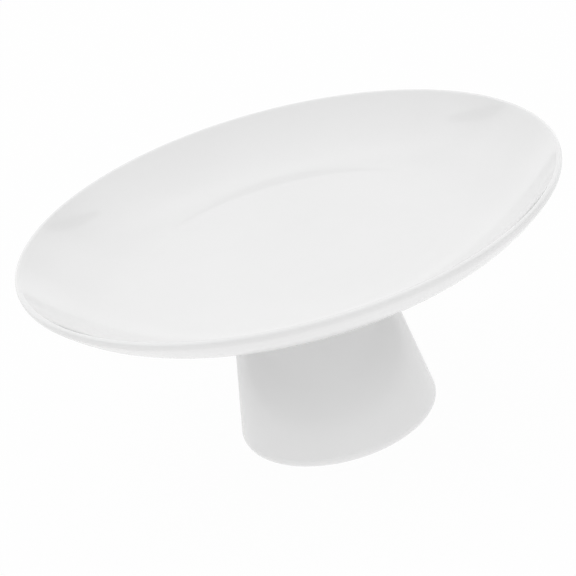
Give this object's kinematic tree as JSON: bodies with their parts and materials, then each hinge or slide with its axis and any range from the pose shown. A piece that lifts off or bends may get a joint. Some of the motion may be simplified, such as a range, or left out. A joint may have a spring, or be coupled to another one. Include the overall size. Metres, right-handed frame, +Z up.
{
  "type": "cake stand",
  "caption": "White glazed porcelain cake stand: a shallow dished round plate with a rounded lip, luted to a hollow conical foot that flares to a ground ring.",
  "frame": {"origin": "centre of the ground ring, on the surface that the stand rests on", "axes": "+Z up the stand's axis; X and Y are any two level directions, as the stand is round"},
  "size_m": [0.305, 0.305, 0.1355],
  "materials": {
    "plate_glaze": "clear gloss glaze on white porcelain",
    "seam_glaze": "clear gloss glaze on a slip joint",
    "pedestal_glaze": "clear gloss glaze on white porcelain, with a bare ground foot ring"
  },
  "bodies": {
    "root": {"plate": "plate_glaze", "slip_seam": "seam_glaze", "pedestal": "pedestal_glaze"}
  },
  "joints": []
}
